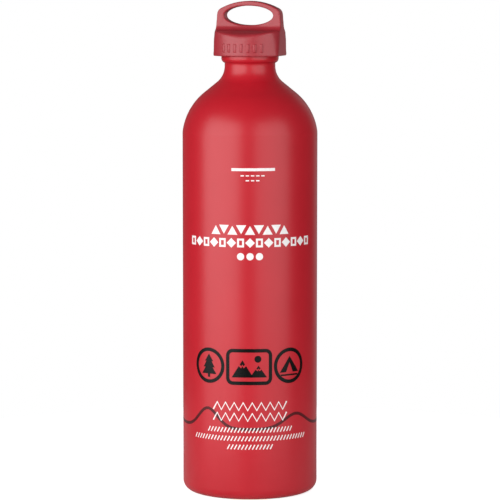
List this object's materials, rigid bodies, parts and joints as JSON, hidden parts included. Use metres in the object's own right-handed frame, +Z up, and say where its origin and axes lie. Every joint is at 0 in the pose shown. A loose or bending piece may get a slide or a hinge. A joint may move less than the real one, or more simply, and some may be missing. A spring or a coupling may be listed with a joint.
{
  "type": "camping fuel bottle",
  "caption": "Tall red aluminium fuel bottle with a domed shoulder, a rounded neck lip and a sprung press-and-turn cap with a carrying loop.",
  "frame": {"origin": "centre of the standing ring, on the surface that the bottle stands on", "axes": "+Z up the bottle's axis; -Y is the printed front; the closed cap stands turned 16 degrees clockwise about +Z, seen from above"},
  "size_m": [0.09, 0.09, 0.3282],
  "materials": {
    "red_powder_coat": "satin powder coat over aluminium",
    "red_moulding": "fine-textured moulded nylon",
    "black_moulding": "moulded acetal",
    "seal_rubber": "fuel-resistant rubber",
    "spring_steel": "drawn stainless wire and stamped stainless sheet"
  },
  "bodies": {
    "bottle": {"bottle": "red_powder_coat"},
    "seal": {"seal_ring": "seal_rubber"},
    "plug": {"threaded_plug": "black_moulding"},
    "spring_pack": {"slip_washer": "spring_steel", "return_spring": "spring_steel"},
    "cap": {"cap_shell": "red_moulding", "retaining_ring": "spring_steel"}
  },
  "joints": [
    {"name": "thread_lift", "type": "slide", "parent": "bottle", "child": "seal", "axis": [0, 0, 1], "range_m": [0, 0.012]},
    {"name": "cap_turn", "type": "hinge", "parent": "seal", "child": "plug", "pos_m": [0, 0, 0.2895], "axis": [0, 0, 1], "range_deg": [0, 1440]},
    {"name": "shell_spin", "type": "hinge", "parent": "plug", "child": "spring_pack", "pos_m": [0, 0, 0.2989], "axis": [0, 0, 1], "continuous": true},
    {"name": "cap_press", "type": "slide", "parent": "spring_pack", "child": "cap", "axis": [0, 0, -1], "range_m": [0, 0.0017], "stiffness_N_per_m": 6000, "springref_m": -0.0008, "deforming": ["return_spring"]}
  ],
  "couplings": [
    {"joint": "thread_lift", "follows": "cap_turn", "m_per_rad": 0.00047746}
  ]
}
